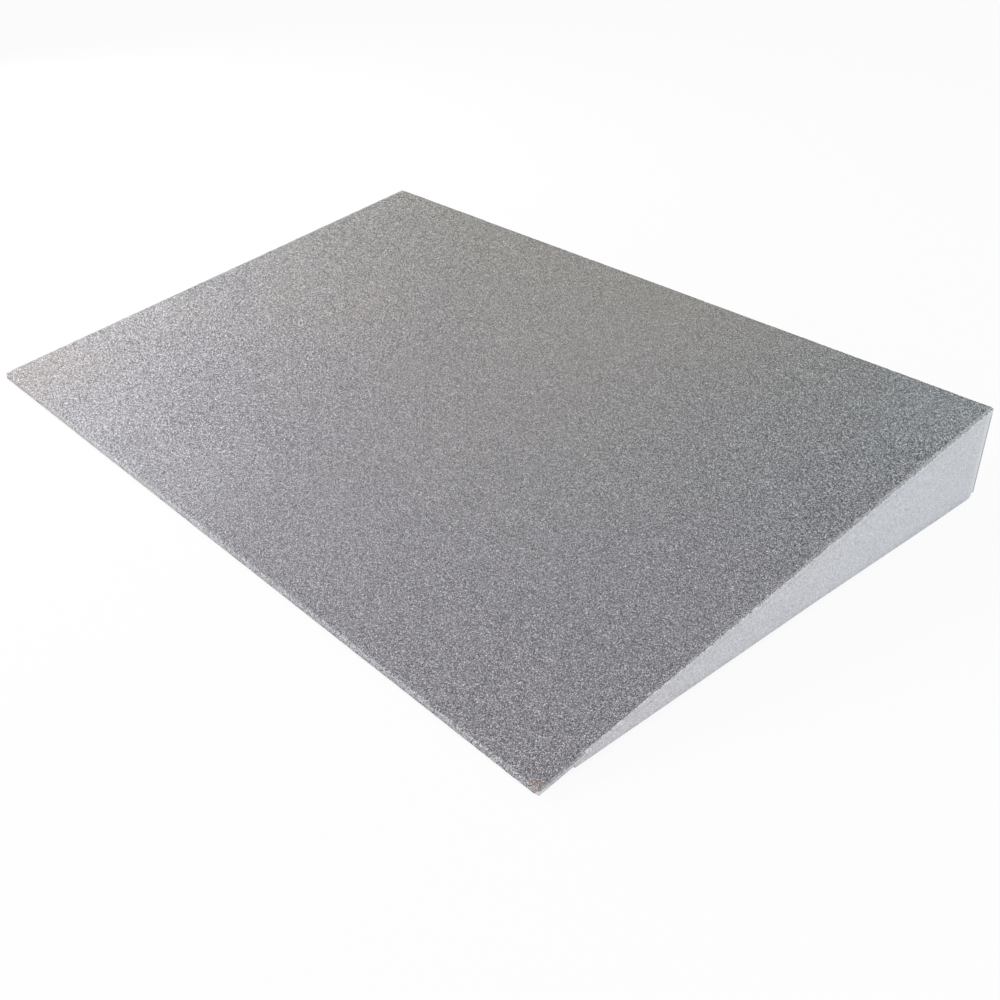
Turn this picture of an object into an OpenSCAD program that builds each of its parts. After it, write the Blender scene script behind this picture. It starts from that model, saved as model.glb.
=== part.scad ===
// Threshold ramp: a wedge of welded plate with a gritted deck.
// X runs across the ramp, Y climbs it and Z is up.
// The origin is on the floor, at the centre of the footprint.

/* [Overall] */
// Width of the ramp, side to side
ramp_w = 914; // [600:1:1200]
// Run along the floor, from the leading edge to the rear face
ramp_run = 607; // [450:1:900]
// Height of the tread at the rear edge
ramp_h = 100; // [80:0.5:150]

/* [Deck] */
// Thickness of the deck plate
deck_t = 6; // [4:0.1:8]
// Radius of the deck's corners, to which the corner welds are dressed
corner_r = 1; // [0.5:0.1:2.8]

/* [Grit coat] */
// Thickness of the coat
coat_t = 1; // [0.5:0.1:2]
// Outer radius of the coat where it turns over the leading edge
nose_r = 2.8; // [2.2:0.1:3.5]
// Bare plate left along the coat's side and rear edges
coat_margin = 1; // [0.2:0.1:2]
// Height above the floor at which the coat stops
coat_lift = 0.8; // [0.3:0.1:1.5]

/* [Gussets, ribs and rear plate] */
// Thickness of the gussets, the ribs and the rear plate
wall_t = 4.8; // [3:0.1:8]
// How far the gussets' outer faces lie inside the deck's side edges
edge_inset = 0.2; // [0.1:0.1:3]
// Distance from the plate's leading edge to the nose of each gusset and rib
nose_setback = 37; // [32:1:80]
// Height of the blunt nose
nose_h = 2.7; // [1:0.1:4]
// Length of the flat heel, which stands on the floor
heel_l = 60; // [30:1:100]
// Length and height of the corner cut off behind the heel
heel_cut = 3; // [1:0.5:8]
// Length of the taper from the heel up to the relieved bottom edge
taper_l = 200; // [50:1:220]
// Gap between the rear plate and the floor
rear_gap = 5; // [1:0.5:10]

/* [Welds] */
// Leg of the fillet welds on the inside
weld_leg = 5; // [3:0.5:7]
// Length of one stitch of weld
stitch_l = 50; // [30:1:55]
// Length left bare at both ends of each joint under the deck
stitch_lead = 45; // [35:1:60]

/* [Hidden] */
$fn = 64;

// Straight pieces in one rounded corner
arc_steps = 12;
// Bays between the gussets and ribs
bays = 4;
// Stitches along one joint under the deck, and along the rear plate in one bay
joint_stitches = 4;
bay_stitches = 2;
// Share of a stitch's pitch by which the stitches on a rib's two faces are set apart
stagger_share = 0.25;
// How far a cutting shape runs past what it cuts
overrun = 5;

plate_colour = "#c5c8ce";
coat_colour = "#929297";
weld_colour = "#d2d4d8";

// Places along the ramp: tip of the coat, plate's leading edge, rear plate's two faces
tip_y = -ramp_run / 2;
lead_y = tip_y + coat_t;
rear_y = ramp_run / 2;
wall_y = rear_y - wall_t;

// Places along a gusset or rib: its nose, and the rear and front ends of its heel
nose_y = lead_y + nose_setback;
cut_y = wall_y - heel_cut;
heel_y = cut_y - heel_l;

// The deck's slope, at which plate and coat together reach the full height at the rear
plate_run = rear_y - lead_y;
slope = acos((deck_t + coat_t) / norm([plate_run, ramp_h])) - atan2(plate_run, ramp_h);
deck_rise = deck_t / cos(slope);
coat_rise = (deck_t + coat_t) / cos(slope);

// Height of the deck's underside, and of the gussets' relieved bottom edge
function underside(y) = (y - lead_y) * tan(slope);
relief = underside(nose_y) - nose_h;

// Width over the gussets, and the centre plane of a gusset or rib, numbered from the left gusset
base_w = ramp_w - 2 * edge_inset;
bay_w = (base_w - wall_t) / bays;
function wall_x(n) = (n - bays / 2) * bay_w;

// Points of a circular arc
function arc(centre, r, from, to) = [
    for (i = [0:arc_steps])
        let (a = from + (to - from) * i / arc_steps)
        centre + r * [cos(a), sin(a)]
];

// Upper outline of a layer on the deck, from the rear and round the leading edge
function tread_line(end_y, rise, r) =
    let (y = tip_y + nose_r, z = underside(y) + rise - r / cos(slope))
    concat([[end_y, underside(end_y) + rise]], arc([y, z], r, 90 + slope, 180));

// Turns a side view into a solid of the given width across the ramp
module across(width) {
    rotate([90, 0, 90])
        linear_extrude(height = width, center = true)
            children();
}

// Plan of the deck with rounded corners, as tall as the ramp
module plan(front, rear, width) {
    r = corner_r;
    translate([0, (front + rear) / 2, -overrun])
        linear_extrude(height = ramp_h + 2 * overrun) {
            square([width - 2 * r, rear - front], center = true);
            square([width, rear - front - 2 * r], center = true);
            for (x = [-1, 1], y = [-1, 1])
                translate([x * (width / 2 - r), y * ((rear - front) / 2 - r)])
                    circle(r);
        }
}

// Space under the deck
module below_deck() {
    end_y = rear_y + overrun;
    across(ramp_w + 2 * overrun)
        polygon([[lead_y, 0], [end_y, 0], [end_y, underside(end_y)]]);
}

module deck_shape() {
    intersection() {
        across(ramp_w + 2 * overrun)
            polygon(concat(
                [[lead_y, 0], [rear_y, underside(rear_y)]],
                tread_line(rear_y, deck_rise, nose_r - coat_t)
            ));
        plan(lead_y, rear_y, ramp_w);
    }
}

module deck_plate() {
    color(plate_colour) deck_shape();
}

// A layer on the deck that turns down over the leading edge and stops short of the floor
module grit_coat() {
    end_y = rear_y - coat_margin;
    within = deck_rise / 2;
    color(coat_colour)
        difference() {
            intersection() {
                across(ramp_w)
                    polygon(concat(
                        [[tip_y, coat_lift], [lead_y, coat_lift], [end_y, underside(end_y) + within]],
                        tread_line(end_y, coat_rise, nose_r)
                    ));
                plan(tip_y, end_y, ramp_w - 2 * coat_margin);
            }
            deck_shape();
        }
}

// The gussets and the ribs are cut to one outline: a wedge on a flat heel, relieved towards its nose
module wall(n) {
    color(plate_colour)
        translate([wall_x(n), 0, 0])
            across(wall_t)
                polygon([
                    [nose_y, underside(nose_y)], [nose_y, relief],
                    [heel_y - taper_l, relief], [heel_y, 0], [cut_y, 0],
                    [wall_y, heel_cut], [wall_y, underside(wall_y)]
                ]);
}

module left_gusset() {
    wall(0);
}

module left_rib() {
    wall(1);
}

module centre_rib() {
    wall(2);
}

module right_rib() {
    wall(3);
}

module right_gusset() {
    wall(bays);
}

// Closes the high end between the corner welds, with its top cut to the slope
module rear_plate() {
    color(plate_colour)
        across(base_w - 2 * wall_t)
            polygon([
                [wall_y, rear_gap], [rear_y, rear_gap],
                [rear_y, underside(rear_y)], [wall_y, underside(wall_y)]
            ]);
}

// Fills the open corner between a gusset and the rear plate, dressed flush with both and rounded outside
module corner_weld(side) {
    flat = wall_t - corner_r;
    color(weld_colour)
        intersection() {
            translate([side * (base_w / 2 - wall_t), wall_y, rear_gap])
                mirror([side < 0 ? 1 : 0, 0, 0])
                    linear_extrude(height = ramp_h) {
                        square([flat, wall_t]);
                        square([wall_t, flat]);
                        translate([flat, flat]) circle(corner_r);
                    }
            below_deck();
        }
}

module left_corner_weld() {
    corner_weld(-1);
}

module right_corner_weld() {
    corner_weld(1);
}

// One stitch of fillet weld along Y with round ends, in the corner from +X down through the given angle
module stitch(angle = 90) {
    reach = 2 * weld_leg;
    bar = stitch_l - 2 * weld_leg;
    intersection() {
        union() {
            rotate([90, 0, 0]) cylinder(r = weld_leg, h = bar, center = true);
            for (end = [-1, 1])
                translate([0, end * bar / 2, 0]) sphere(weld_leg);
        }
        rotate([90, 0, 0])
            linear_extrude(height = stitch_l + 2 * overrun, center = true)
                polygon([
                    [0, 0], [reach, 0],
                    reach * [cos(angle / 2), -sin(angle / 2)],
                    reach * [cos(angle), -sin(angle)]
                ]);
    }
}

// Stitches between the deck and one face of a gusset or rib
module deck_weld(n, face, offset_share) {
    start = nose_y + stitch_lead;
    pitch = (wall_y - stitch_lead - start) / joint_stitches;
    color(weld_colour)
        for (i = [0:joint_stitches - 1]) {
            y = start + (i + offset_share) * pitch;
            translate([wall_x(n) + face * wall_t / 2, y, underside(y)])
                rotate([slope, 0, 0])
                    mirror([face < 0 ? 1 : 0, 0, 0])
                        stitch();
        }
}

// A rib is stitched on both faces, in turn
module rib_weld(n) {
    deck_weld(n, -1, stagger_share);
    deck_weld(n, 1, 1 - stagger_share);
}

module left_gusset_weld() {
    deck_weld(0, 1, 1 / 2);
}

module left_rib_weld() {
    rib_weld(1);
}

module centre_rib_weld() {
    rib_weld(2);
}

module right_rib_weld() {
    rib_weld(3);
}

module right_gusset_weld() {
    deck_weld(bays, -1, 1 / 2);
}

// One upright stitch on each face of a rib, half way up the rear plate
module rib_rear_weld(n) {
    color(weld_colour)
        for (face = [-1, 1])
            translate([wall_x(n) + face * wall_t / 2, wall_y, (rear_gap + underside(wall_y)) / 2])
                rotate([-90, 0, 0])
                    mirror([face < 0 ? 1 : 0, 0, 0])
                        stitch();
}

module left_rib_rear_weld() {
    rib_rear_weld(1);
}

module centre_rib_rear_weld() {
    rib_rear_weld(2);
}

module right_rib_rear_weld() {
    rib_rear_weld(3);
}

// Stitches along the top of the rear plate, spread over each bay
module rear_plate_weld() {
    color(weld_colour)
        for (n = [0:bays - 1], i = [0:bay_stitches - 1])
            translate([wall_x(n) + (i + 1 / 2) * bay_w / bay_stitches, wall_y, underside(wall_y)])
                rotate([0, 0, -90])
                    rotate([0, slope, 0])
                        stitch(90 - slope);
}

deck_plate();
grit_coat();
rear_plate();
left_gusset();
left_rib();
centre_rib();
right_rib();
right_gusset();
left_corner_weld();
right_corner_weld();
rear_plate_weld();
left_gusset_weld();
left_rib_weld();
centre_rib_weld();
right_rib_weld();
right_gusset_weld();
left_rib_rear_weld();
centre_rib_rear_weld();
right_rib_rear_weld();
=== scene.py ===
# %% [markdown]
# # A threshold ramp with a gritted deck
# The real object is a rigid wedge of welded aluminium plate that lies in front of a door sill.
# Its deck is sprayed with silver-grey paint full of hard grit, and its smooth sides show a satin silver coat.
# The solids already fix every size, so this lesson only dresses them: it lays real grit on the deck,
# eases the plate edges, draws the weld beads, and finishes each surface with node materials.

import bpy
import numpy as np
from mathutils import Matrix, Vector


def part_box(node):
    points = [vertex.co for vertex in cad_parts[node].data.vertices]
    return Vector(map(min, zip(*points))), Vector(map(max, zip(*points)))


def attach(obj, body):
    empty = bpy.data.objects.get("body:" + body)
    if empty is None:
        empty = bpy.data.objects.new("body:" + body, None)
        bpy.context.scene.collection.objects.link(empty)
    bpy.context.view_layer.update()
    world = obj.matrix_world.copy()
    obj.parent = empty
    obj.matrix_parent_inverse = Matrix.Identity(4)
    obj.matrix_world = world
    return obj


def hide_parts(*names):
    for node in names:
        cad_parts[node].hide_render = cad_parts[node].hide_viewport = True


MM = 0.001
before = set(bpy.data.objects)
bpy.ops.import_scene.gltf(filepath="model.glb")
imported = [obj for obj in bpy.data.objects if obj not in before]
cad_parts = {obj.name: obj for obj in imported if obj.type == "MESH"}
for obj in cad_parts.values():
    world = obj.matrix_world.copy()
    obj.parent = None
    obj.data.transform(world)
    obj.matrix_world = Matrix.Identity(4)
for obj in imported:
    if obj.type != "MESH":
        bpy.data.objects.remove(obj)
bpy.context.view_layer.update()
print("nodes loaded:", len(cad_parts))

# %% [markdown]
# ## Sizes come from the solids
# The boxes of four solids give the slope, the thicknesses and all the ends that the new surfaces need.
# Only sizes that no box can show, such as the radius of the leading edge, are written down again.
# This way the surfaces stay on their solids to a hair when one of these changes.

# %% Measure the solids
deck_low, deck_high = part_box("deck_plate")
coat_low, coat_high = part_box("grit_coat")
rear_low, rear_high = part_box("rear_plate")
side_low, side_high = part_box("right_gusset")

# Sizes that no box shows
corner_radius = 1 * MM
nose_radius = 2.8 * MM
nose_height = 2.7 * MM
heel_length = 60 * MM
heel_cut = 3 * MM
taper_length = 200 * MM

# Sizes that follow from the boxes
wall_thick = side_high.x - side_low.x
coat_thick = deck_low.y - coat_low.y
deck_tan = rear_high.z / (rear_high.y - deck_low.y)
slope = float(np.arctan(deck_tan))


def underside(y):
    """Height of the deck's underside at y: it rises evenly from the plate's leading edge on the floor."""
    return (y - deck_low.y) * deck_tan


deck_rise = deck_high.z - underside(deck_high.y)
coat_rise = coat_high.z - underside(coat_high.y)
print("deck slope, degrees:", round(float(np.degrees(slope)), 2))
print("plate and coat, measured upright, mm:", round(coat_rise / MM, 2))

# %% [markdown]
# ## The camera
# The photograph's straight edges fix where the camera stood: right of the low end, looking down by a third
# of a right angle. A camera could be aimed by hand until the corners agree, but its place and turn are known
# here, so its matrix is written straight from three directions: to the right, up, and back to the viewer.

# %% Set up the camera
camera_place = Vector((0.89069, -0.73611, 0.63225))
camera_azimuth, camera_elevation, camera_roll = np.radians([47.592, 31.972, 0.048])
camera_lens = 43.033
camera_sensor = 36
camera_near = 0.01

back = Vector((
    np.sin(camera_azimuth) * np.cos(camera_elevation),
    -np.cos(camera_azimuth) * np.cos(camera_elevation),
    np.sin(camera_elevation),
))
level = Vector((np.cos(camera_azimuth), np.sin(camera_azimuth), 0))
upright = back.cross(level)
right = level * np.cos(camera_roll) + upright * np.sin(camera_roll)
up = upright * np.cos(camera_roll) - level * np.sin(camera_roll)

camera_data = bpy.data.cameras.new("photo_camera")
camera_data.sensor_width = camera_sensor
camera_data.lens = camera_lens
camera_data.clip_start = camera_near
camera = bpy.data.objects.new("photo_camera", camera_data)
turn = Matrix((right, up, back)).transposed()
camera.matrix_world = Matrix.Translation(camera_place) @ turn.to_4x4()
bpy.context.scene.collection.objects.link(camera)
bpy.context.scene.camera = camera
bpy.context.scene.view_settings.view_transform = "Standard"
print("camera stands", round(camera_place.length, 2), "m from the ramp's centre")

# %% [markdown]
# ## Helpers for node materials
# A material is a small network of nodes. One helper adds a node, sets it up and links what feeds it, so each
# material below reads like a recipe. Colours are written as the hex values that a screen shows, and one
# function turns them into the linear light that the renderer calculates with.

# %% Node helpers
def linear(hex_colour):
    """Linear RGBA of an sRGB hex colour: the dark end is divided by 12.92, the rest follows a 2.4 power."""
    shown = np.array([int(hex_colour[k:k + 2], 16) for k in (1, 3, 5)]) / 255
    light = np.where(shown <= 0.04045, shown / 12.92, ((shown + 0.055) / 1.055) ** 2.4)
    return (*light.tolist(), 1.0)


def add_node(tree, kind, feeds=None, **settings):
    """Adds one node, applies its settings, and feeds each input from another socket or with a value."""
    node = tree.nodes.new(kind)
    for name, value in settings.items():
        setattr(node, name, value)
    for name, value in (feeds or {}).items():
        if isinstance(value, bpy.types.NodeSocket):
            tree.links.new(value, node.inputs[name])
        else:
            node.inputs[name].default_value = value
    return node


def empty_tree(holder):
    """The node tree of a material or a world, cleared for a new recipe."""
    holder.use_nodes = True
    holder.node_tree.nodes.clear()
    return holder.node_tree


def per_metre(size_mm):
    """Pattern scale at which one cell of a texture is size_mm wide: Object coordinates are in metres."""
    return 1 / (size_mm * MM)


print("mid grey as linear light:", round(linear("#808080")[0], 3))

# %% [markdown]
# ## Studio floor and light
# The photograph is a cut-out on white, taken under soft light with a brighter side at the left.
# A white card under and behind the ramp would do in a real studio. Here the floor gives the camera mostly
# plain white and a little of its own lit surface, so it looks white and still carries the ramp's soft shadow.
# The sky is an even white, one large softbox at the left gives the deck its sheen, one lights the side wall,
# and a low one at the front left makes the grit sparkle and brightens the leading edge.

# %% Floor
def seen_directly(tree):
    """A socket that is 1 for what the camera sees, straight, mirrored or through glass, and else 0."""
    path = add_node(tree, "ShaderNodeLightPath")
    seen = path.outputs["Is Camera Ray"]
    for ray in ("Is Glossy Ray", "Is Transmission Ray"):
        either = add_node(tree, "ShaderNodeMath", {0: seen, 1: path.outputs[ray]}, operation="MAXIMUM")
        seen = either.outputs[0]
    return seen


floor_half = 15.0
floor_drop = 0.2 * MM
floor_white_share = 0.9
floor_plan = np.array([(-1, -1), (1, -1), (1, 1), (-1, 1)]) * floor_half
floor_points = np.column_stack([floor_plan, np.full(len(floor_plan), -floor_drop)])
floor_mesh = bpy.data.meshes.new("studio_floor")
floor_mesh.from_pydata(floor_points.tolist(), [], [(0, 1, 2, 3)])
floor = bpy.data.objects.new("studio_floor", floor_mesh)
bpy.context.scene.collection.objects.link(floor)

paper = bpy.data.materials.new("matt_white_studio_paper")
tree = empty_tree(paper)
white = add_node(tree, "ShaderNodeMath", {
    0: seen_directly(tree), 1: floor_white_share,
}, operation="MULTIPLY")
lit = add_node(tree, "ShaderNodeBsdfDiffuse", {"Color": linear("#f2f2f2")})
glow = add_node(tree, "ShaderNodeEmission", {"Color": linear("#ffffff"), "Strength": 1.0})
mixed = add_node(tree, "ShaderNodeMixShader", {0: white.outputs[0], 1: lit.outputs[0], 2: glow.outputs[0]})
add_node(tree, "ShaderNodeOutputMaterial", {"Surface": mixed.outputs[0]})
floor_mesh.materials.append(paper)
print("floor side, m:", 2 * floor_half)

# %% Sky
sky_light = 0.71
sky = bpy.data.worlds.new("even_white_studio")
bpy.context.scene.world = sky
tree = empty_tree(sky)
strength = add_node(tree, "ShaderNodeMapRange", {
    "Value": seen_directly(tree), "To Min": sky_light, "To Max": 1.0,
})
white = add_node(tree, "ShaderNodeBackground", {"Color": linear("#ffffff"), "Strength": strength.outputs[0]})
add_node(tree, "ShaderNodeOutputWorld", {"Surface": white.outputs[0]})
print("light of the sky, as a share of full white:", sky_light)

# %% Softboxes
# Each softbox has a place, a point that it faces, a width and a height in metres, and a power in watts
softboxes = {
    "left_softbox": ((-1.65, -0.25, 0.9), (-0.2, -0.05, 0.05), 1.4, 1.3, 22),
    "right_softbox": ((2.4, -0.6, 0.45), (0.4, 0.0, 0.05), 1.4, 0.8, 15),
    "front_softbox": ((-0.6, -2.0, 0.35), (-0.2, -0.3, 0.03), 0.9, 0.5, 11),
}
for name, (stand, target, width, height, watts) in softboxes.items():
    lamp_data = bpy.data.lights.new(name, "AREA")
    lamp_data.shape = "RECTANGLE"
    lamp_data.size = width
    lamp_data.size_y = height
    lamp_data.energy = watts
    lamp = bpy.data.objects.new(name, lamp_data)
    aim = Vector(target) - Vector(stand)
    lamp.matrix_world = Matrix.Translation(stand) @ aim.to_track_quat("-Z", "Y").to_matrix().to_4x4()
    bpy.context.scene.collection.objects.link(lamp)
print("softboxes:", len(softboxes))

# %% [markdown]
# ## Surfaces from arrays
# Each new piece is a grid of points worked out with numpy and handed to Blender in one go.
# Modelling by hand would do as well, but a formula keeps every edge exactly where the solids put it.
# The helper below takes the points, the four-sided faces and the end faces. It can store a value at each
# point, which a material reads as an attribute, and a map that lays the faces out flat.

# %% Mesh helpers
def cell_corners(grid):
    """Values at the four corners of each cell of a grid, wound from the first axis towards the second."""
    cells = np.stack([grid[:-1, :-1], grid[1:, :-1], grid[1:, 1:], grid[:-1, 1:]], axis=2)
    return cells.reshape(-1, 4, *grid.shape[2:])


def make_piece(name, points, quads, ends, smooth, node, material, values, flat_map=None):
    """A mesh of points, quads and end faces: smooth marks curved quads, values holds a number per point."""
    corners = np.concatenate([quads.ravel(), *ends])
    sides = np.array([4] * len(quads) + [len(end) for end in ends])
    curved = np.concatenate([smooth, np.zeros(len(ends), bool)])
    mesh = bpy.data.meshes.new(name)
    mesh.vertices.add(len(points))
    mesh.vertices.foreach_set("co", points.astype(np.float32).ravel())
    mesh.loops.add(len(corners))
    mesh.loops.foreach_set("vertex_index", corners.astype(np.int32))
    mesh.polygons.add(len(sides))
    mesh.polygons.foreach_set("loop_start", (np.cumsum(sides) - sides).astype(np.int32))
    mesh.polygons.foreach_set("use_smooth", curved)
    mesh.update(calc_edges=True)
    for label, numbers in values.items():
        store = mesh.attributes.new(label, "FLOAT", "POINT")
        store.data.foreach_set("value", numbers.astype(np.float32).ravel())
    if flat_map is not None:
        layer = mesh.uv_layers.new(name="OFBake")
        layer.uv.foreach_set("vector", flat_map.astype(np.float32).ravel())
    mesh.materials.append(material)
    piece = bpy.data.objects.new(name, mesh)
    bpy.context.scene.collection.objects.link(piece)
    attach(piece, "root")
    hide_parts(node)
    return piece


print("helpers ready")

# %% [markdown]
# ## Finish of the deck: anti-slip paint full of grit
# The real coat is a thick silver-grey paint with aluminium oxide grains, sprayed or rolled on.
# It gives the eye a dense sparkle: each grain has its own tone, a few carry a painted glint that brings them
# almost to white, and the pits between them get painted shade. The relief itself is real geometry further
# down, so this material adds what is finer.
# Where the coat thins out, at its edges and on the front face, single cells show the bare silver plate.

# %% Tone of the grains
grain_mm = 0.55
dark_grain, light_grain = 0.14, 1.36
flash_power, flash_gain = 9.0, 1.8
pit_tone, crest_tone = 0.84, 1.16

coat_paint = bpy.data.materials.new("sprayed_anti_slip_paint_with_aluminium_oxide_grit")
tree = empty_tree(coat_paint)
place = add_node(tree, "ShaderNodeTexCoord").outputs["Object"]
crest = add_node(tree, "ShaderNodeAttribute", attribute_name="crest").outputs["Fac"]
cover = add_node(tree, "ShaderNodeAttribute", attribute_name="cover").outputs["Fac"]

# Every grain is one cell with three random numbers: tone, tint and whether it covers the plate
grain = add_node(tree, "ShaderNodeTexVoronoi", {"Vector": place, "Scale": per_metre(grain_mm)})
chance = add_node(tree, "ShaderNodeSeparateColor", {"Color": grain.outputs["Color"]})
# Painted glints: a few grains are brightened almost to white in the base colour
flash = add_node(tree, "ShaderNodeMath", {0: chance.outputs["Red"], 1: flash_power}, operation="POWER")
body = add_node(tree, "ShaderNodeMapRange", {
    "Value": chance.outputs["Red"], "To Min": dark_grain, "To Max": light_grain,
})
tone = add_node(tree, "ShaderNodeMath", {
    0: flash.outputs[0], 1: flash_gain, 2: body.outputs[0],
}, operation="MULTIPLY_ADD")
# Painted shade in the pits: low points of the relief are darkened and crests lightened
pits = add_node(tree, "ShaderNodeMapRange", {"Value": crest, "To Min": pit_tone, "To Max": crest_tone})
light = add_node(tree, "ShaderNodeMath", {0: tone.outputs[0], 1: pits.outputs[0]}, operation="MULTIPLY")
print("nodes for the tone of the grains:", len(tree.nodes))

# %% Contrast over the deck
# Light and dark grains spread further apart towards the left, the low end and the rear right corner: painted
# glints and pit shade where the lamps graze the grit. A reach is a stretch in X or Y, in metres, and a
# contrast holds at its two ends.
mean_tone = 0.93
least_tone = 0.03
left_reach, left_contrast = (-0.45, 0.05), (2.1, 1.04)
front_reach, front_contrast = (-0.25, 0.28), (1.0, 0.75)
right_reach = (0.1, 0.45)
corner_reach, corner_contrast = (-0.1, 0.15), 0.55

spot = add_node(tree, "ShaderNodeSeparateXYZ", {0: place})
to_left = add_node(tree, "ShaderNodeMapRange", {
    "Value": spot.outputs["X"], "From Min": left_reach[0], "From Max": left_reach[1],
    "To Min": left_contrast[0], "To Max": left_contrast[1],
})
to_front = add_node(tree, "ShaderNodeMapRange", {
    "Value": spot.outputs["Y"], "From Min": front_reach[0], "From Max": front_reach[1],
    "To Min": front_contrast[0], "To Max": front_contrast[1],
})
to_right = add_node(tree, "ShaderNodeMapRange", {
    "Value": spot.outputs["X"], "From Min": right_reach[0], "From Max": right_reach[1],
})
behind = add_node(tree, "ShaderNodeMapRange", {
    "Value": spot.outputs["Y"], "From Min": corner_reach[0], "From Max": corner_reach[1],
    "To Max": corner_contrast,
})
in_corner = add_node(tree, "ShaderNodeMath", {
    0: to_right.outputs[0], 1: behind.outputs[0],
}, operation="MULTIPLY")
force = add_node(tree, "ShaderNodeMath", {
    0: to_left.outputs[0], 1: to_front.outputs[0], 2: in_corner.outputs[0],
}, operation="MULTIPLY_ADD")
above = add_node(tree, "ShaderNodeMath", {0: light.outputs[0], 1: mean_tone}, operation="SUBTRACT")
spread = add_node(tree, "ShaderNodeMath", {
    0: above.outputs[0], 1: force.outputs[0], 2: mean_tone,
}, operation="MULTIPLY_ADD")
light = add_node(tree, "ShaderNodeMath", {0: spread.outputs[0], 1: least_tone}, operation="MAXIMUM")
print("contrast at the left and in the middle:", left_contrast)

# %% Tint of the paint, and bare plate
# The paint is purplish at the low end, warm at the rear left and bluish green at the rear right, and the
# change is uneven: areas a hand wide and single grains run ahead of it or lag behind.
mottle_mm = 90
uneven_share = 0.3
rear_reach = (0.05, 0.6)

mottle = add_node(tree, "ShaderNodeTexNoise", {
    "Vector": place, "Scale": per_metre(mottle_mm), "Detail": 2.0,
})
uneven = add_node(tree, "ShaderNodeMath", {
    0: chance.outputs["Green"], 1: mottle.outputs["Fac"],
}, operation="ADD")
uphill = add_node(tree, "ShaderNodeMath", {
    0: uneven.outputs[0], 1: uneven_share, 2: spot.outputs["Y"],
}, operation="MULTIPLY_ADD")
to_rear = add_node(tree, "ShaderNodeMapRange", {
    "Value": uphill.outputs[0], "From Min": rear_reach[0], "From Max": rear_reach[1],
})
# The rear colours are a little lighter than the front one: painted light that makes up for the lamps falling
# off towards the rear
rear_paint = add_node(tree, "ShaderNodeMix", {
    0: to_right.outputs[0], 6: linear("#979591"), 7: linear("#8c9295"),
}, data_type="RGBA")
paint = add_node(tree, "ShaderNodeMix", {
    0: to_rear.outputs[0], 6: linear("#908e94"), 7: rear_paint.outputs[2],
}, data_type="RGBA")
toned = add_node(tree, "ShaderNodeVectorMath", {
    0: paint.outputs[2], "Scale": light.outputs[0],
}, operation="SCALE")

# Bare plate shows through where a cell isn't covered
bare = add_node(tree, "ShaderNodeMath", {0: chance.outputs["Blue"], 1: cover}, operation="GREATER_THAN")
thinned = add_node(tree, "ShaderNodeMix", {
    0: bare.outputs[0], 6: toned.outputs[0], 7: linear("#c8c8ca"),
}, data_type="RGBA")
print("nodes for the grains and their tint:", len(tree.nodes))

# %% Marks of use and painted sheen on the coat
# Each mark has a place, a reach in millimetres, a colour and a strength: a brown scuff on the right tip, a
# stain on the left one, three pale spots of painted sheen on the low edge and at the rear right corner,
# stains on the deck, and one dark speck. The core of a mark is full, and from there it fades to nothing at
# its reach.
marks = [
    ((coat_high.x - 2.5 * MM, coat_low.y + 3 * MM, 7 * MM), 8.5, "#ac8a6e", 0.95),
    ((coat_low.x + 22 * MM, coat_low.y + 20 * MM, 9 * MM), 150, "#948b7b", 0.70),
    # Painted sheen: pale spots that lighten the coat on the low edge and at the rear right corner
    ((-0.25, coat_low.y + 12 * MM, 8 * MM), 120, "#d8d8dc", 0.17),
    ((-0.09, coat_low.y + 12 * MM, 8 * MM), 120, "#d8d8dc", 0.17),
    ((coat_high.x - 25 * MM, coat_high.y - 15 * MM, coat_high.z), 90, "#d4dae4", 0.16),
    ((-0.230, 0.072, 0.064), 70, "#9c8f7d", 0.24),
    ((-0.062, -0.001, 0.053), 70, "#988d7f", 0.22),
    ((-0.327, 0.034, 0.059), 70, "#9c8f7d", 0.20),
    ((0.4156, -0.0388, 0.0475), 2.2, "#3c3c40", 0.90),
]
core_share = 0.2
patch_mm = 6
patch_range = (0.25, 0.6)

patchy = add_node(tree, "ShaderNodeTexNoise", {"Vector": place, "Scale": per_metre(patch_mm), "Detail": 2.0})
patches = add_node(tree, "ShaderNodeMapRange", {
    "Value": patchy.outputs["Fac"], "From Min": patch_range[0], "From Max": patch_range[1],
})
grainwise = add_node(tree, "ShaderNodeMath", {
    0: chance.outputs["Blue"], 1: patches.outputs[0],
}, operation="MULTIPLY")
stains_and_sheen = thinned.outputs[2]
for mark_place, reach, colour, mark_strength in marks:
    far = add_node(tree, "ShaderNodeVectorMath", {0: place, 1: mark_place}, operation="DISTANCE")
    near = add_node(tree, "ShaderNodeMapRange", {
        "Value": far.outputs["Value"], "From Min": reach * core_share * MM, "From Max": reach * MM,
        "To Min": mark_strength, "To Max": 0.0,
    })
    share = add_node(tree, "ShaderNodeMath", {
        0: near.outputs[0], 1: grainwise.outputs[0],
    }, operation="MULTIPLY")
    mixed = add_node(tree, "ShaderNodeMix", {
        0: share.outputs[0], 6: stains_and_sheen, 7: linear(colour),
    }, data_type="RGBA")
    stains_and_sheen = mixed.outputs[2]
print("marks of use:", len(marks))

# %% Gloss and crystal faces
# A grain is a broken crystal, so its top is a flat face that leans its own way and is rounded by the paint
facet_lean = 0.8
dome_strength, dome_height = 0.6, 0.3 * MM
dull_grain, glossy_grain = 0.75, 0.36
coat_metallic = 0.6
coating_ior = 1.5

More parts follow.
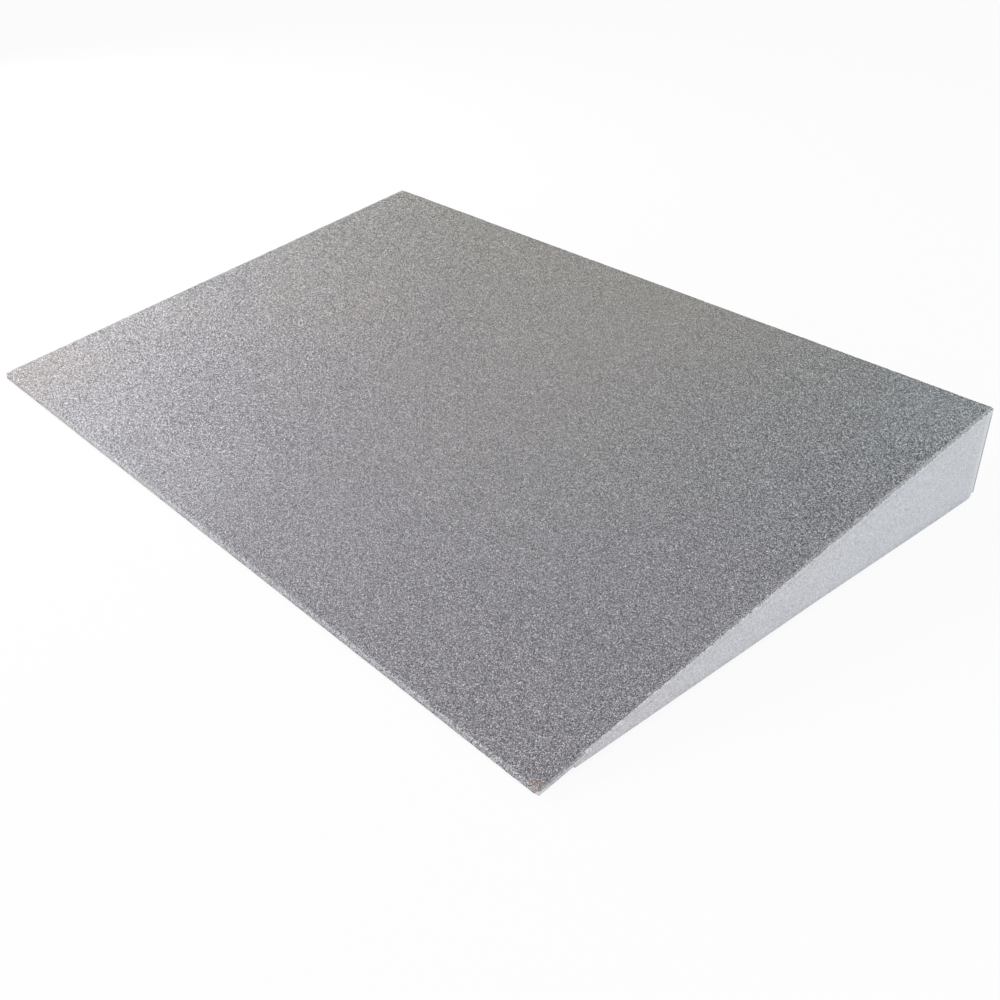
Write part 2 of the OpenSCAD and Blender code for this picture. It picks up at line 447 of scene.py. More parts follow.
lean = add_node(tree, "ShaderNodeVectorMath", {
    0: grain.outputs["Color"], 1: (0.5, 0.5, 0.5),
}, operation="SUBTRACT")
outward = add_node(tree, "ShaderNodeNewGeometry").outputs["Normal"]
leaning = add_node(tree, "ShaderNodeVectorMath", {
    0: lean.outputs[0], 1: (facet_lean, facet_lean, facet_lean), 2: outward,
}, operation="MULTIPLY_ADD")
facet = add_node(tree, "ShaderNodeVectorMath", {0: leaning.outputs[0]}, operation="NORMALIZE")
dome = add_node(tree, "ShaderNodeBump", {
    "Strength": dome_strength, "Distance": dome_height, "Height": grain.outputs["Distance"],
    "Normal": facet.outputs[0],
}, invert=True)
gloss = add_node(tree, "ShaderNodeMapRange", {
    "Value": chance.outputs["Red"], "To Min": dull_grain, "To Max": glossy_grain,
})
shader = add_node(tree, "ShaderNodeBsdfPrincipled", {
    "Base Color": stains_and_sheen, "Metallic": coat_metallic, "Roughness": gloss.outputs[0], "IOR": coating_ior,
    "Normal": dome.outputs[0],
})
add_node(tree, "ShaderNodeOutputMaterial", {"Surface": shader.outputs[0]})
print("coat material nodes:", len(tree.nodes))

# %% [markdown]
# ## Relief of the grit
# A bump map alone would leave the deck's edges as straight as a ruler. The real edge is ragged, because
# single grains stand on it, so the coat is a surface with its coarse grains in it.
# Two parameters span it: the way along the side view, from the foot of the front face round the nose and up
# the deck, and the way across. One grain stands near each grid point, with its own seeded height and a small
# shift. Towards its sides and ends the coat thins out, and the two front corners are worn round.

# %% Way along the deck
nose_points = 13


def layer_path(end_y, rise, radius, foot_z):
    """Side view of a layer on the deck: up the front face, round the nose arc, then straight up the deck."""
    centre_y = coat_low.y + nose_radius
    centre_z = underside(centre_y) + rise - radius / np.cos(slope)
    angle = np.linspace(np.pi, np.pi / 2 + slope, nose_points)
    nose = np.stack([centre_y + radius * np.cos(angle), centre_z + radius * np.sin(angle)], axis=1)
    return np.vstack([[nose[0, 0], foot_z], nose, [end_y, underside(end_y) + rise]])


def even_steps(path, step):
    """Points about step apart along a line of straight pieces, their way along it, and the left normals."""
    reach = np.concatenate([[0], np.cumsum(np.linalg.norm(np.diff(path, axis=0), axis=1))])
    along = np.linspace(0, reach[-1], int(round(reach[-1] / step)) + 1)
    points = np.stack([np.interp(along, reach, path[:, 0]), np.interp(along, reach, path[:, 1])], axis=1)
    tangent = np.gradient(points, axis=0)
    tangent /= np.linalg.norm(tangent, axis=1, keepdims=True)
    return points, along, np.stack([-tangent[:, 1], tangent[:, 0]], axis=1)


def half_width(y, front, rear, width, radius):
    """Half of a rounded plan's width at y: full in the middle, and on the corner circle near both ends."""
    inset = np.clip(radius - np.minimum(y - front, rear - y), 0, radius)
    return width / 2 - radius + np.sqrt(radius ** 2 - inset ** 2)


grit_step = 1.1 * MM
lanes = 5
coat_path = layer_path(coat_high.y, coat_rise, nose_radius, coat_low.z)
path_points, path_along, path_normals = even_steps(coat_path, grit_step)
coat_width = coat_high.x - coat_low.x
lane_steps = int(round(coat_width / lanes / grit_step))
rows = len(path_points)
columns = lanes * lane_steps + 1
print("grid of the coat:", rows, "by", columns)

# %% Thickness of the coat
grit_seed = 12
crest_spread = (1.6, 2.4)
relief_depth = 0.40 * MM
film_thick = 0.85 * MM
feather_width = 0.8 * MM

grit_random = np.random.default_rng(grit_seed)
crests = grit_random.beta(*crest_spread, (rows, columns))
half = half_width(path_points[:, 0], coat_low.y, coat_high.y, coat_width, corner_radius)
coat_x = half[:, None] * np.linspace(-1, 1, columns)[None, :]
to_side = half[:, None] - np.abs(coat_x)
to_end = np.minimum(path_along, path_along[-1] - path_along)
to_edge = np.minimum(to_side, to_end[:, None])

feather = np.clip(to_edge / feather_width, 0, 1)
full = coat_thick - relief_depth * (1 - crests)
thickness = film_thick + (full - film_thick) * feather
print("mean thickness of the coat, mm:", round(float(thickness.mean()) / MM, 3))

# %% Cover and wear
apron_covers = [0.52, 0.7]
apron_ends = [0.7, 0.98]
side_widths = [0.6 * MM, 3.2 * MM]
side_covers = [0.85, 0.10]
tip_round = 1.9 * MM
wear_places = [0, 0.3, 1, 2]
wear_shares = [0.6, 1.0, 1.0, 0.0]

# The front face and the nose carry less paint than the deck, and least at the left
nose_way = np.linalg.norm(np.diff(coat_path[:-1], axis=0), axis=1).sum()
on_apron = np.interp(path_along / nose_way, apron_ends, [1.0, 0.0])
apron = 1 - on_apron[:, None] * (1 - np.linspace(*apron_covers, columns))
# At its sides the paint thins out too, hardly at the low end and most at the rear
rearward = path_along[:, None] / path_along[-1]
thin_width = np.interp(rearward, [0, 1], side_widths)
side_cover = np.interp(rearward, [0, 1], side_covers)
covers = side_cover + (1 - side_cover) * np.clip(to_side / thin_width, 0, 1)
covers = np.minimum(apron, covers)
# A corner worn round: the surface sinks along a quarter circle in the last millimetres before each side
tip_fade = np.interp(path_along / nose_way, wear_places, wear_shares)
short = np.clip(tip_round - to_side, 0, tip_round)
worn_corner = tip_fade[:, None] * (tip_round - np.sqrt(tip_round ** 2 - short ** 2))
print("least cover, percent:", round(100 * float(covers.min())))

# %% Points of the coat
grain_shift = 0.35 * grit_step
least_film = 0.05 * MM

jitter_x = grit_random.uniform(-grain_shift, grain_shift, (rows, columns))
jitter_path = grit_random.uniform(-grain_shift, grain_shift, (rows, columns))
sink = coat_thick - thickness + worn_corner
coat_y = path_points[:, :1] - sink * path_normals[:, :1] + jitter_path * path_normals[:, 1:]
coat_z = path_points[:, 1:] - sink * path_normals[:, 1:] - jitter_path * path_normals[:, :1]
coat_grid = np.stack([coat_x + jitter_x, coat_y, coat_z], axis=-1)
base_sink = np.maximum(coat_thick, sink + least_film)
print("height range of the coat, mm:", round(coat_z.min() / MM, 2), round(coat_z.max() / MM, 2))

# %% Flat map of a lane
# The map gives the relief most of the square, and thin strips to the walls, the underside and the ends
map_edge, relief_end = 0.01, 0.88
strip_starts, strip_width = (0.90, 0.93, 0.96), 0.02
end_strips = ((0.006, 0.0), (0.994, 1.0))


def lane_map(wide):
    """Places on the flat map for all the corners of a lane that is wide points across, face by face."""
    across = np.linspace(map_edge, relief_end, wide)
    along = map_edge + (1 - 2 * map_edge) * path_along / path_along[-1]
    relief_map = np.stack(np.meshgrid(across, along), axis=-1)
    maps = [cell_corners(relief_map.transpose(1, 0, 2)).reshape(-1, 2)]
    for start in strip_starts:
        edges = [np.column_stack([np.full(rows, u), along]) for u in (start, start + strip_width)]
        maps.append(cell_corners(np.stack(edges, axis=1)).reshape(-1, 2))
    for edge, base in end_strips:
        line = np.column_stack([across, np.full(wide, edge)])
        end = np.vstack([line, [[relief_end, base], [map_edge, base]]])
        maps.append(end[::-1] if base == 0 else end)
    return np.vstack(maps)


print("share of the map's width for the relief:", round(relief_end - map_edge, 2))

# %% Lay the coat in lanes
# The coat is laid in lanes that share their border points, which keeps each piece under 200,000 triangles
def coat_lane(name, first, last):
    """One closed lane of the coat: relief on top, a wall down each side, a plain underside and two ends."""
    lane = coat_grid[:, first:last + 1]
    wide = lane.shape[1]
    left = np.column_stack([lane[:, 0, 0], path_points - base_sink[:, first, None] * path_normals])
    right = np.column_stack([lane[:, -1, 0], path_points - base_sink[:, last, None] * path_normals])
    points = np.vstack([lane.reshape(-1, 3), left, right])
    top = np.arange(rows * wide).reshape(rows, wide)
    under_left = rows * wide + np.arange(rows)
    under_right = under_left + rows
    strips = [(top[:, 0], under_left), (under_right, top[:, -1]), (under_left, under_right)]
    quads = np.vstack([cell_corners(top.T)] + [cell_corners(np.stack(pair, axis=1)) for pair in strips])
    foot = np.concatenate([top[0], [under_right[0], under_left[0]]])[::-1]
    rear = np.concatenate([top[-1], [under_right[-1], under_left[-1]]])
    smooth = np.arange(len(quads)) < (rows - 1) * (wide - 1)
    values = {
        "crest": np.concatenate([crests[:, first:last + 1].ravel(), np.zeros(2 * rows)]),
        "cover": np.concatenate([covers[:, first:last + 1].ravel(), np.ones(2 * rows)]),
    }
    return make_piece(name, points, quads, [foot, rear], smooth, "grit_coat", coat_paint, values,
                      lane_map(wide))


coat_pieces = [
    coat_lane("grit_coat_lane_%d" % (n + 1), n * lane_steps, (n + 1) * lane_steps) for n in range(lanes)
]
print("faces in one lane:", len(coat_pieces[0].data.polygons))

# %% [markdown]
# ## Finish of the plates: satin silver powder coat
# The sides of the real ramp are smooth, pale and a little bluish: aluminium plate under a satin silver coat.
# Powder coat melts into a skin with a faint orange peel and fine metal flakes, so the eye sees a soft speckle
# and broad, dull highlights. Edges are rubbed brighter and carry a painted highlight, the low end and the
# lowest millimetres get painted shade, a painted highlight lies beside the corner welds, and close to the
# deck stray grit from the spraying sticks to the plate.

# %% Skin of the plates
flake_mm = 0.9
dark_flake, light_flake = 0.68, 1.32
cloud_mm = 45
cloud_share = 0.4
cool_reach = (-0.1, 0.45)
floor_shade_height, floor_shade_tone = 9 * MM, 0.86

plate_paint = bpy.data.materials.new("satin_silver_powder_coat_on_aluminium_plate")
tree = empty_tree(plate_paint)
place = add_node(tree, "ShaderNodeTexCoord").outputs["Object"]
edge = add_node(tree, "ShaderNodeAttribute", attribute_name="edge").outputs["Fac"]

# Flakes are drawn about ten times coarser than real ones, which would be too fine to show
flake = add_node(tree, "ShaderNodeTexVoronoi", {"Vector": place, "Scale": per_metre(flake_mm)})
chance = add_node(tree, "ShaderNodeSeparateColor", {"Color": flake.outputs["Color"]})
fleck = add_node(tree, "ShaderNodeMapRange", {
    "Value": chance.outputs["Red"], "To Min": dark_flake, "To Max": light_flake,
})
cloud = add_node(tree, "ShaderNodeTexNoise", {"Vector": place, "Scale": per_metre(cloud_mm), "Detail": 3.0})

# The skin is painted a little darker towards the low end, as painted shade where less light reaches it, and a
# touch more purple there; noise clouds blur the change
spot = add_node(tree, "ShaderNodeSeparateXYZ", {0: place})
uphill = add_node(tree, "ShaderNodeMath", {
    0: cloud.outputs["Fac"], 1: cloud_share, 2: spot.outputs["Y"],
}, operation="MULTIPLY_ADD")
to_rear = add_node(tree, "ShaderNodeMapRange", {
    "Value": uphill.outputs[0], "From Min": cool_reach[0], "From Max": cool_reach[1],
})
skin = add_node(tree, "ShaderNodeMix", {
    0: to_rear.outputs[0], 6: linear("#bbbabf"), 7: linear("#c0c4ca"),
}, data_type="RGBA")

# Painted shade: the skin darkens over the lowest millimetres towards the floor
floor_shade = add_node(tree, "ShaderNodeMapRange", {
    "Value": spot.outputs["Z"], "From Min": 0.0, "From Max": floor_shade_height, "To Min": floor_shade_tone, "To Max": 1.0,
})
shade = add_node(tree, "ShaderNodeMath", {0: fleck.outputs[0], 1: floor_shade.outputs[0]}, operation="MULTIPLY")
toned = add_node(tree, "ShaderNodeVectorMath", {
    0: skin.outputs[2], "Scale": shade.outputs[0],
}, operation="SCALE")
print("nodes for the skin:", len(tree.nodes))

# %% Rubbed edges and painted highlights
wear_glint_mm = 5
wear_glint_range = (0.4, 0.62)
highlight_reach, highlight_share = (7 * MM, 13 * MM), 0.42

# Edges rubbed to bare metal and painted with a highlight, in patches
wear_and_glint_noise = add_node(tree, "ShaderNodeTexNoise", {"Vector": place, "Scale": per_metre(wear_glint_mm), "Detail": 2.0})
bright = add_node(tree, "ShaderNodeMapRange", {
    "Value": wear_and_glint_noise.outputs["Fac"], "From Min": wear_glint_range[0], "From Max": wear_glint_range[1],
})
worn_and_glinting = add_node(tree, "ShaderNodeMath", {0: edge, 1: bright.outputs[0]}, operation="MULTIPLY")
eased = add_node(tree, "ShaderNodeMix", {
    0: worn_and_glinting.outputs[0], 6: toned.outputs[0], 7: linear("#eae9e5"),
}, data_type="RGBA")

# Painted highlight on the plate beside the corner welds, where the rear corner catches the light
mirrored = add_node(tree, "ShaderNodeVectorMath", {0: place}, operation="ABSOLUTE")
plan = add_node(tree, "ShaderNodeVectorMath", {
    0: mirrored.outputs[0], 1: (1.0, 1.0, 0.0),
}, operation="MULTIPLY")
weld_corner = (side_high.x, deck_high.y, 0.0)
far = add_node(tree, "ShaderNodeVectorMath", {0: plan.outputs[0], 1: weld_corner}, operation="DISTANCE")
weld_side_highlight = add_node(tree, "ShaderNodeMapRange", {
    "Value": far.outputs["Value"], "From Min": highlight_reach[0], "From Max": highlight_reach[1],
    "To Min": highlight_share, "To Max": 0.0,
})
highlighted = add_node(tree, "ShaderNodeMix", {
    0: weld_side_highlight.outputs[0], 6: eased.outputs[2], 7: linear("#dddfe1"),
}, data_type="RGBA")
print("strip beside a corner weld, mm:", round(highlight_reach[1] / MM, 1))

# %% Stray grit and a speck
# Stray grit is likely at the deck's top face and never further below it than its reach. Beside the low tip
# the coat was sprayed over the edge, so there the upper half of the plate's side is full of grit.
stray_reach, stray_share = 2.5 * MM, 0.35
tip_reach = (38 * MM, 58 * MM)
spray_depth = (3.6 * MM, 2.0 * MM)
speck_place = (side_high.x, 0.096, 0.068)
speck_reach = (0.6 * MM, 1.3 * MM)
deck_normal = (0.0, -float(np.sin(slope)), float(np.cos(slope)))
deck_level = Vector(deck_normal).dot(Vector((0, deck_low.y, deck_rise)))

depth = add_node(tree, "ShaderNodeVectorMath", {0: place, 1: deck_normal}, operation="DOT_PRODUCT")
likely = add_node(tree, "ShaderNodeMapRange", {
    "Value": depth.outputs["Value"], "From Min": deck_level - stray_reach, "From Max": deck_level,
    "To Min": 0.0, "To Max": stray_share,
})
low_tip = add_node(tree, "ShaderNodeMapRange", {
    "Value": spot.outputs["Y"], "From Min": deck_low.y + tip_reach[0], "From Max": deck_low.y + tip_reach[1],
    "To Min": 1.0, "To Max": 0.0,
})
over_edge = add_node(tree, "ShaderNodeMapRange", {
    "Value": depth.outputs["Value"], "From Min": deck_level - spray_depth[0],
    "From Max": deck_level - spray_depth[1],
})
sprayed = add_node(tree, "ShaderNodeMath", {
    0: low_tip.outputs[0], 1: over_edge.outputs[0],
}, operation="MULTIPLY")
likely = add_node(tree, "ShaderNodeMath", {
    0: likely.outputs[0], 1: sprayed.outputs[0],
}, operation="MAXIMUM")
stray = add_node(tree, "ShaderNodeMath", {
    0: chance.outputs["Blue"], 1: likely.outputs[0],
}, operation="LESS_THAN")
grit_tone = add_node(tree, "ShaderNodeMix", {
    0: chance.outputs["Green"], 6: linear("#606166"), 7: linear("#b0b1b5"),
}, data_type="RGBA")
gritty = add_node(tree, "ShaderNodeMix", {
    0: stray.outputs[0], 6: highlighted.outputs[2], 7: grit_tone.outputs[2],
}, data_type="RGBA")

# One dark speck high on the right wall
far = add_node(tree, "ShaderNodeVectorMath", {0: place, 1: speck_place}, operation="DISTANCE")
speck = add_node(tree, "ShaderNodeMapRange", {
    "Value": far.outputs["Value"], "From Min": speck_reach[0], "From Max": speck_reach[1],
    "To Min": 1.0, "To Max": 0.0,
})
marked = add_node(tree, "ShaderNodeMix", {
    0: speck.outputs[0], 6: gritty.outputs[2], 7: linear("#5a5b61"),
}, data_type="RGBA")
print("stray grit reaches down, mm:", round(stray_reach / MM, 1))

# %% Gloss of the plates
peel_mm = 1.8
peel_strength, peel_height = 0.35, 0.1 * MM
plate_roughness = (0.40, 0.56)
plate_metallic = 0.25

peel = add_node(tree, "ShaderNodeTexNoise", {"Vector": place, "Scale": per_metre(peel_mm), "Detail": 2.0})
skin_bump = add_node(tree, "ShaderNodeBump", {
    "Strength": peel_strength, "Distance": peel_height, "Height": peel.outputs["Fac"],
})
gloss = add_node(tree, "ShaderNodeMapRange", {
    "Value": cloud.outputs["Fac"], "To Min": plate_roughness[0], "To Max": plate_roughness[1],
})
shader = add_node(tree, "ShaderNodeBsdfPrincipled", {
    "Base Color": marked.outputs[2], "Metallic": plate_metallic, "Roughness": gloss.outputs[0],
    "IOR": coating_ior, "Normal": skin_bump.outputs[0],
})
add_node(tree, "ShaderNodeOutputMaterial", {"Surface": shader.outputs[0]})
print("plate material nodes:", len(tree.nodes))

# %% [markdown]
# ## Plates with eased edges
# Real plate is sheared or sawn and then deburred, so no edge is perfectly sharp, and the small round catches
# light. A Bevel modifier could do this, but here each plate is its side view carried across the ramp: rings
# of points shrink along a quarter round towards both faces. Extra points beside the corners keep the shading
# tight there.

# %% Helpers for plates
plate_ease = 0.3 * MM
edge_wear_and_glint = np.array([0, 0.7, 1, 0.7, 0])


def beside_corners(corners, distances):
    """Replaces each corner of an outline by points at the given distances before and after it."""
    ahead = np.roll(corners, -1, axis=0) - corners
    ahead /= np.linalg.norm(ahead, axis=1, keepdims=True)
    behind = np.roll(ahead, 1, axis=0)
    steps = np.concatenate([-distances[::-1], distances])[None, :, None]
    points = corners[:, None] + np.minimum(steps, 0) * behind[:, None] + np.maximum(steps, 0) * ahead[:, None]
    return points.reshape(-1, 2)


def shrink(outline, amount):
    """The outline moved inwards: each point moves along the sum of its two edges' inward normals."""
    ahead = np.roll(outline, -1, axis=0) - outline
    ahead /= np.linalg.norm(ahead, axis=1, keepdims=True)
    inward = np.stack([-ahead[:, 1], ahead[:, 0]], axis=1)
    before = np.roll(inward, 1, axis=0)
    return outline + amount * (inward + before) / (1 + (inward * before).sum(axis=1, keepdims=True))


def eased_plate(name, outline, low, high, ease, node):
    """An outline in Y and Z carried along X from low to high, and rounded with radius ease at both faces."""
    angle = np.linspace(0, np.pi / 2, len(edge_wear_and_glint))[:, None]
    inset = (1 - np.sin(angle)) * ease * np.ones(len(outline))
    depth = (1 - np.cos(angle)) * ease * np.ones(len(outline))
    rings = np.stack([shrink(outline, amount[:, None]) for amount in np.concatenate([inset, inset[::-1]])])
    x = np.concatenate([low + depth, high - depth[::-1]])
    points = np.concatenate([x[..., None], rings], axis=2)
    numbers = np.arange(x.size).reshape(x.shape)
    quads = cell_corners(np.column_stack([numbers, numbers[:, 0]]).T)
    flat_band = len(edge_wear_and_glint) - 1
    smooth = np.tile(np.arange(len(rings) - 1) != flat_band, len(outline))
    values = {"edge": np.concatenate([edge_wear_and_glint, edge_wear_and_glint])[:, None] * np.ones(len(outline))}
    ends = [numbers[0][::-1], numbers[-1]]
    return make_piece(name, points.reshape(-1, 3), quads, ends, smooth, node, plate_paint, values)


print("radius of the eased edges, mm:", plate_ease / MM)

# %% Deck plate
deck_corners = np.array([
    [deck_low.y, 0], [deck_high.y, underside(deck_high.y)],
    [deck_high.y, underside(deck_high.y) + deck_rise], [deck_low.y, deck_rise],
])
near_deck_corner = np.array([0.4, 0.8, 1.3, 2.0]) * MM
past_nose = np.array([9, 6, 3]) * MM

nose_path = layer_path(deck_high.y, deck_rise, nose_radius - coat_thick, 0.0)[1:-1]
above_nose = nose_path[-1] + np.outer(past_nose, [np.cos(slope), np.sin(slope)])
square_corners = beside_corners(deck_corners, near_deck_corner)[:-len(near_deck_corner) * 2]
deck_outline = np.vstack([square_corners, above_nose, nose_path[::-1]])
deck_width = deck_high.x - deck_low.x
deck_half = half_width(deck_outline[:, 0], deck_low.y, deck_high.y, deck_width, corner_radius)

# The top edges follow the coat's worn corners, so their round is larger
deck_ease = np.full(len(deck_outline), plate_ease)
deck_ease[len(square_corners) - len(near_deck_corner):] = tip_round - coat_thick
eased_plate("eased_deck_plate", deck_outline, -deck_half, deck_half, deck_ease, "deck_plate")
print("points in the deck plate's outline:", len(deck_outline))

# %% Gussets and ribs
wall_ease = 0.4 * plate_ease
near_wall_corner = np.array([0.4, 0.8]) * MM
walls = ["left_gusset", "left_rib", "centre_rib", "right_rib", "right_gusset"]

heel_end = side_high.y - heel_cut
heel_start = heel_end - heel_length
relief = underside(side_low.y) - nose_height
wall_corners = np.array([
    [side_low.y, relief], [heel_start - taper_length, relief], [heel_start, 0], [heel_end, 0],
    [side_high.y, heel_cut], [side_high.y, underside(side_high.y)], [side_low.y, underside(side_low.y)],
])
wall_outline = beside_corners(wall_corners, near_wall_corner)
for wall in walls:
    wall_low, wall_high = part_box(wall)
    eased_plate("eased_" + wall, wall_outline, wall_low.x, wall_high.x, wall_ease, wall)
print("gussets and ribs:", len(walls))

# %% Rear plate
rear_corners = np.array([
    [rear_low.y, rear_low.z], [rear_high.y, rear_low.z],
    [rear_high.y, underside(rear_high.y)], [rear_low.y, underside(rear_low.y)],
])
rear_outline = beside_corners(rear_corners, near_wall_corner)
eased_plate("eased_rear_plate", rear_outline, rear_low.x, rear_high.x, wall_ease, "rear_plate")
print("rear plate height, mm:", round((rear_high.z - rear_low.z) / MM, 1))

# %% [markdown]
# ## Finish of the welds: silver-coated aluminium beads
# Welds on such a ramp are laid by hand before the coat goes on, so they share the plates' silver. The ripples
# are geometry, and the material adds fine grain, a painted highlight that lightens the crests, and painted
# shade in the hollows and at the roots of the beads.

# %% Weld material
weld_grain_mm = 1.2
crest_share = 0.6
silver_range = (0.3, 1.2)
weld_bump, weld_bump_height = 0.3, 0.1 * MM
weld_roughness = (0.32, 0.5)
weld_metallic = 0.4

weld_paint = bpy.data.materials.new("silver_coated_aluminium_weld_bead")
tree = empty_tree(weld_paint)
place = add_node(tree, "ShaderNodeTexCoord").outputs["Object"]
crest = add_node(tree, "ShaderNodeAttribute", attribute_name="crest").outputs["Fac"]
grain = add_node(tree, "ShaderNodeTexNoise", {
    "Vector": place, "Scale": per_metre(weld_grain_mm), "Detail": 3.0,
})
# Painted light: the crest value lightens ripple crests towards the pale silver and shades the hollows
blend = add_node(tree, "ShaderNodeMath", {
    0: crest, 1: crest_share, 2: grain.outputs["Fac"],
}, operation="MULTIPLY_ADD")
fade = add_node(tree, "ShaderNodeMapRange", {
    "Value": blend.outputs[0], "From Min": silver_range[0], "From Max": silver_range[1],
})
silver = add_node(tree, "ShaderNodeMix", {
    0: fade.outputs[0], 6: linear("#a3a6ac"), 7: linear("#e6e7ea"),
}, data_type="RGBA")
bead_bump = add_node(tree, "ShaderNodeBump", {
    "Strength": weld_bump, "Distance": weld_bump_height, "Height": grain.outputs["Fac"],
})
gloss = add_node(tree, "ShaderNodeMapRange", {
    "Value": grain.outputs["Fac"], "To Min": weld_roughness[0], "To Max": weld_roughness[1],
})
shader = add_node(tree, "ShaderNodeBsdfPrincipled", {
    "Base Color": silver.outputs[2], "Metallic": weld_metallic, "Roughness": gloss.outputs[0],
    "IOR": coating_ior, "Normal": bead_bump.outputs[0],
})
add_node(tree, "ShaderNodeOutputMaterial", {"Surface": shader.outputs[0]})
print("weld material nodes:", len(tree.nodes))

# %% [markdown]
# ## Corner welds, dressed flush
# Where a gusset meets the rear plate, weld metal fills the open corner and is ground flush on the outside.
# Its plan is a square with one rounded corner, carried up from the gap at the floor to the deck's underside.
# Grinding never takes all the ripples away, so the outer faces sink in bands, by less than 0.1 mm.
# The plate beside the weld carries a painted highlight, while the weld's rounded corner and its sunk bands
# get painted shade.

# %% Corner welds
weld_stations = 111
weld_arc_points = 9
near_seam = np.array([0.2, 0.7, 1.5]) * MM
band_pitch = 3.4 * MM
band_depth = 0.08 * MM
band_lean = 0.4
seam_crest, band_fall, arc_shade_fall = 1.2, 0.3, 1.7


def corner_weld(name, node, side):
    """A plan ring carried up: points sink by half the band depth times one plus the cosine of the height."""
    weld_low, weld_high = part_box(node)
    angle = np.linspace(0, np.pi / 2, weld_arc_points)
    turning = np.stack([np.cos(angle), np.sin(angle)], axis=1)
    beside = np.column_stack([np.full(len(near_seam), wall_thick), near_seam])
    arc = wall_thick - corner_radius + corner_radius * turning
    ring = np.vstack([[0, 0], [wall_thick, 0], beside, arc, beside[::-1, ::-1], [0, wall_thick]])
    level_x = np.tile([1, 0], (len(near_seam), 1))
    level_y = np.tile([0, 1], (len(near_seam), 1))
    facing = np.vstack([[0, 0], [0, 0], level_x, turning, level_y, [0, 0]])
    inner_x = weld_low.x if side > 0 else weld_high.x
    top = underside(weld_low.y + ring[:, 1])
    z = weld_low.z + np.linspace(0, 1, weld_stations)[:, None] * (top - weld_low.z)
    band = (1 + np.cos(2 * np.pi * (z + band_lean * ring[:, 0]) / band_pitch)) / 2
    plan = ring - band_depth * band[..., None] * facing
    points = np.stack([inner_x + side * plan[..., 0], weld_low.y + plan[..., 1], z], axis=-1)
    numbers = np.arange(z.size).reshape(z.shape)[:, ::side]
    quads = cell_corners(np.column_stack([numbers, numbers[:, 0]]).T)
    # The two hidden faces are flat; the arc with one point on each side of it and the sunk bands get painted
    # shade
    smooth = np.ones(len(quads), bool)
    smooth.reshape(len(ring), -1)[[0, -1] if side > 0 else [-2, -1]] = False
    arc_shade = np.concatenate([np.zeros(len(near_seam) + 1), np.ones(len(arc) + 2), np.zeros(len(near_seam))])
    values = {"crest": seam_crest - band_fall * band - arc_shade_fall * arc_shade}
    ends = [numbers[0][::-1], numbers[-1]]
    return make_piece(name, points.reshape(-1, 3), quads, ends, smooth, node, weld_paint, values)


corner_weld("dressed_left_corner_weld", "left_corner_weld", -1)
corner_weld("dressed_right_corner_weld", "right_corner_weld", 1)
print("bands on a corner weld:", int((rear_high.z - rear_low.z) / band_pitch))

# %% [markdown]
# ## Stitch welds under the deck
# On the underside the plates are held by short fillet welds. A bead is laid as a row of overlapping drops,
# and each leaves a curved ripple, bowed forward in the middle.
# One bead is a surface of two parameters, the way along it and the angle from one plate to the other. All the
# beads of a joint are worked out as one array, and only the place and three directions differ between them.

# %% Bead shape
weld_leg = 5 * MM
stitch_length = 50 * MM
bead_stations = 97
bead_angles = 10
ripple_pitch = 3.2 * MM
ripple_depth = 0.45 * MM
ripple_bow = 1.5 * MM
bead_flat = 0.16
wander_share, wander_length = 0.05, 17 * MM
end_reach = 0.985
least_radius = 0.1 * weld_leg
bead_seed = 7
bead_random = np.random.default_rng(bead_seed)


def bead_group(name, node, roots, axis, first, opening):
    """Beads in corners: round ends, flatter half way round, with ripples that follow a cosine of the way."""
    count = len(roots)
    way = np.linspace(-0.5, 0.5, bead_stations)[None, :, None] * stitch_length
    angle = np.linspace(0, 1, bead_angles)[None, None, :]
    middle = np.sin(np.pi * angle)
    past = np.clip((np.abs(way) - (stitch_length / 2 - weld_leg)) / weld_leg, 0, end_reach)
    phase = bead_random.uniform(0, 1, (count, 1, 1))
    wave = (1 - np.cos(2 * np.pi * ((way + ripple_bow * middle) / ripple_pitch + phase))) / 2
    wander = 1 - wander_share * (1 + np.sin(2 * np.pi * (way / wander_length + phase))) / 2
    radius = weld_leg * np.sqrt(1 - past ** 2) * (1 - bead_flat * middle) * wander
    radius = np.maximum(radius - ripple_depth * wave * middle, least_radius)
    second = np.cross(axis, first)
    spread = np.cos(opening * angle)[..., None] * first[:, None, None, :]
    spread = spread + np.sin(opening * angle)[..., None] * second[:, None, None, :]
    line = roots[:, None, None, :] + way[..., None] * axis[:, None, None, :]
    points = np.concatenate([line, line + radius[..., None] * spread], axis=2)
    stations, ring = points.shape[1:3]
    numbers = np.arange(count * stations * ring).reshape(count, stations, ring)
    around = np.concatenate([numbers, numbers[..., :1]], axis=2)
    quads = np.vstack([cell_corners(one.T) for one in around])
    curved = ~np.isin(np.arange(ring), [0, ring - 1])
    smooth = np.tile(np.repeat(curved, stations - 1), count)
    ends = [one[0][::-1] for one in numbers] + [one[-1] for one in numbers]
    # Crest values for painted light: zero at the bead's root gives painted shade there, and the hollows of
    # the ripples are shaded
    root_crest = np.zeros((count, stations, 1))
    values = {"crest": np.concatenate([root_crest, 1 - wave * np.ones_like(radius)], axis=2)}
    return make_piece(name, points.reshape(-1, 3), quads, ends, smooth, node, weld_paint, values)


print("ripples on one bead:", int(stitch_length / ripple_pitch))

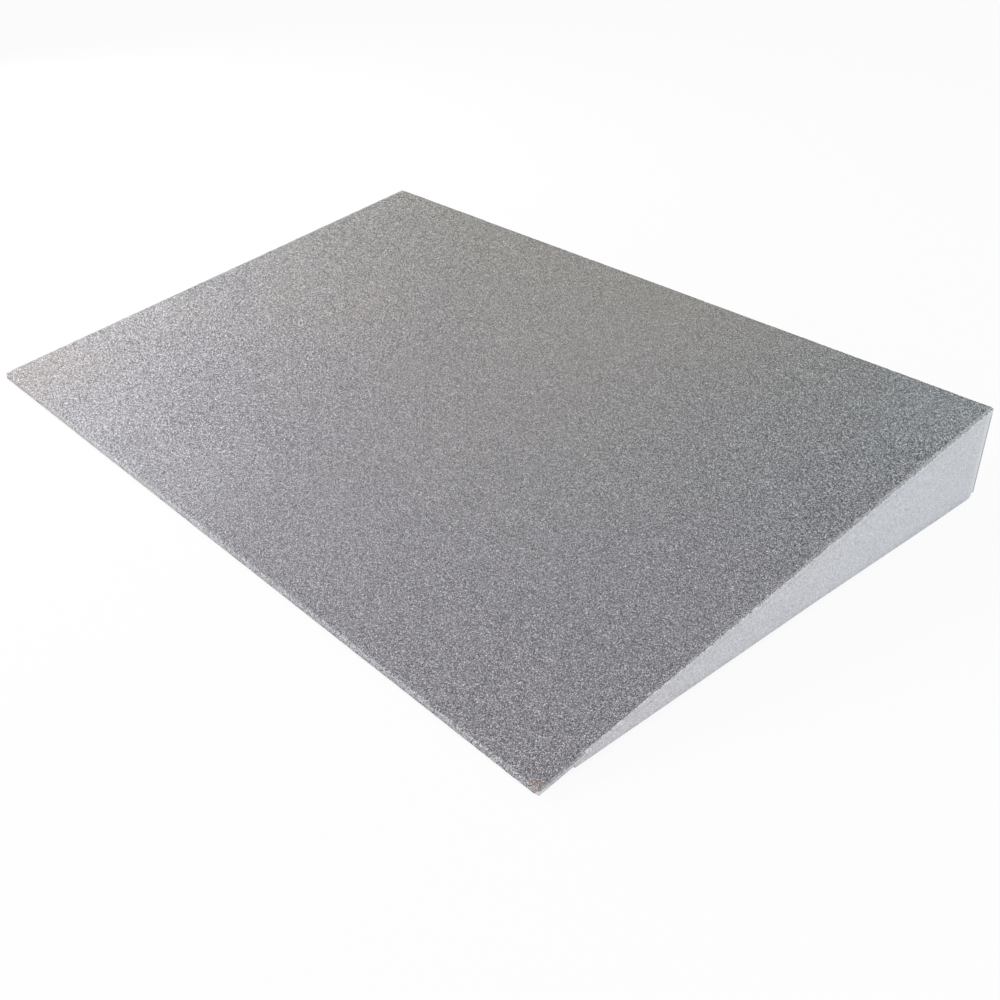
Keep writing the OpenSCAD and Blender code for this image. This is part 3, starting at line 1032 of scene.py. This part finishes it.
# %% Beads between the deck and the gussets and ribs
stitch_lead = 45 * MM
joint_stitches = 4
joint_start = side_low.y + stitch_lead
joint_pitch = (side_high.y - stitch_lead - joint_start) / joint_stitches
square = np.pi / 2
up_deck = np.array([0, np.cos(slope), np.sin(slope)])
off_deck = np.array([0, np.sin(slope), -np.cos(slope)])
outwards = np.array([1.0, 0, 0])


def joint_beads(wall, faces):
    """Beads along a wall's top: each face, -1 for left or 1 for right, comes with its share of the pitch."""
    wall_low, wall_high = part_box(wall)
    spots = [
        (face, joint_start + (n + share) * joint_pitch)
        for face, share in faces
        for n in range(joint_stitches)
    ]
    face, y = np.array(spots).T
    roots = np.column_stack([np.where(face > 0, wall_high.x, wall_low.x), y, underside(y)])
    first = np.where(face[:, None] > 0, outwards, off_deck)
    axis = np.tile(up_deck, (len(y), 1))
    return bead_group("beads_of_" + wall, wall + "_weld", roots, axis, first, square)


joint_beads("left_gusset", [(1, 0.5)])
joint_beads("right_gusset", [(-1, 0.5)])
for rib in walls[1:-1]:
    joint_beads(rib, [(-1, 0.25), (1, 0.75)])
print("pitch of the beads, mm:", round(joint_pitch / MM, 1))

# %% Beads at the rear plate
middle_z = (rear_low.z + underside(rear_low.y)) / 2
for rib in walls[1:-1]:
    rib_low, rib_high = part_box(rib)
    roots = np.array([[rib_low.x, rear_low.y, middle_z], [rib_high.x, rear_low.y, middle_z]])
    first = np.array([[-1.0, 0, 0], [0, -1.0, 0]])
    axis = np.tile([0, 0, 1.0], (2, 1))
    bead_group("upright_beads_of_" + rib, rib + "_rear_weld", roots, axis, first, square)

bays = len(walls) - 1
bay_width = (side_high.x + side_low.x) / bays
rear_beads = 2 * bays
bead_x = (np.arange(rear_beads) - (rear_beads - 1) / 2) * bay_width / 2
bead_y = np.full(rear_beads, rear_low.y)
roots = np.column_stack([bead_x, bead_y, underside(bead_y)])
first = np.tile(-up_deck, (rear_beads, 1))
axis = np.tile(outwards, (rear_beads, 1))
bead_group("beads_of_rear_plate", "rear_plate_weld", roots, axis, first, square - slope)
print("beads along the rear plate:", rear_beads)
